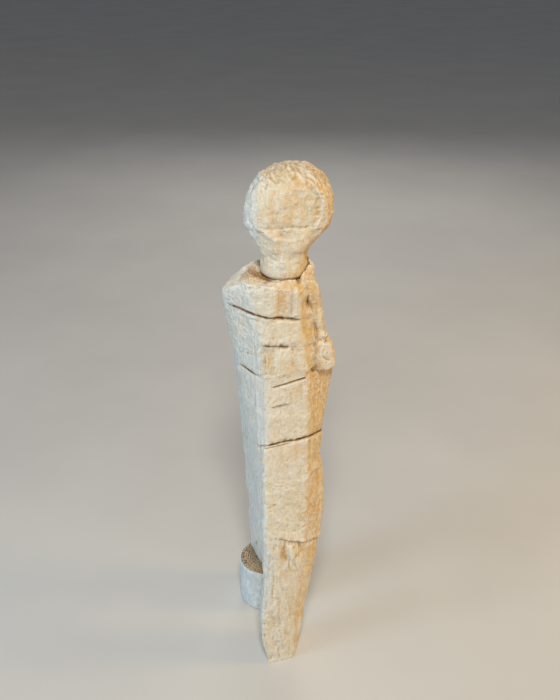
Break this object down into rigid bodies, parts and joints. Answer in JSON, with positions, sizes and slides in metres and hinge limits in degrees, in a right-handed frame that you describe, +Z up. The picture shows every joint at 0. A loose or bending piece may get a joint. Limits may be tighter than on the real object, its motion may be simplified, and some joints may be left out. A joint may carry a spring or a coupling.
{
  "type": "carved wooden standing figure",
  "caption": "Tall carved and painted wooden doll figure standing on one long front leg and a short rear leg set on a round log, with a round head on a neck peg.",
  "frame": {"origin": "centre of the log foot's flat underside, in the plane the figure stands on", "axes": "+Z up along the figure's height, -Y the way the figure faces, +X the figure's left side, where the arm is"},
  "size_m": [0.0811, 0.1052, 0.4198],
  "materials": {
    "painted_wood": "matte cream paint over rough filler",
    "bare_wood": "raw"
  },
  "bodies": {
    "figure": {"shoulder_block": "painted_wood", "chest_block": "painted_wood", "rib_block": "painted_wood", "belly_block": "painted_wood", "waist_block": "painted_wood", "leg_block": "painted_wood", "left_arm": "painted_wood", "arm_peg_upper": "bare_wood", "arm_peg_lower": "bare_wood", "spine_dowel_left": "bare_wood", "spine_dowel_right": "bare_wood", "log_foot": "painted_wood", "foot_peg": "bare_wood", "neck_peg": "bare_wood"},
    "head": {"head": "painted_wood"}
  },
  "joints": [
    {"name": "head_turn", "type": "hinge", "parent": "figure", "child": "head", "pos_m": [0.0052, -0.039, 0.342], "axis": [0, 0, 1], "continuous": true}
  ]
}
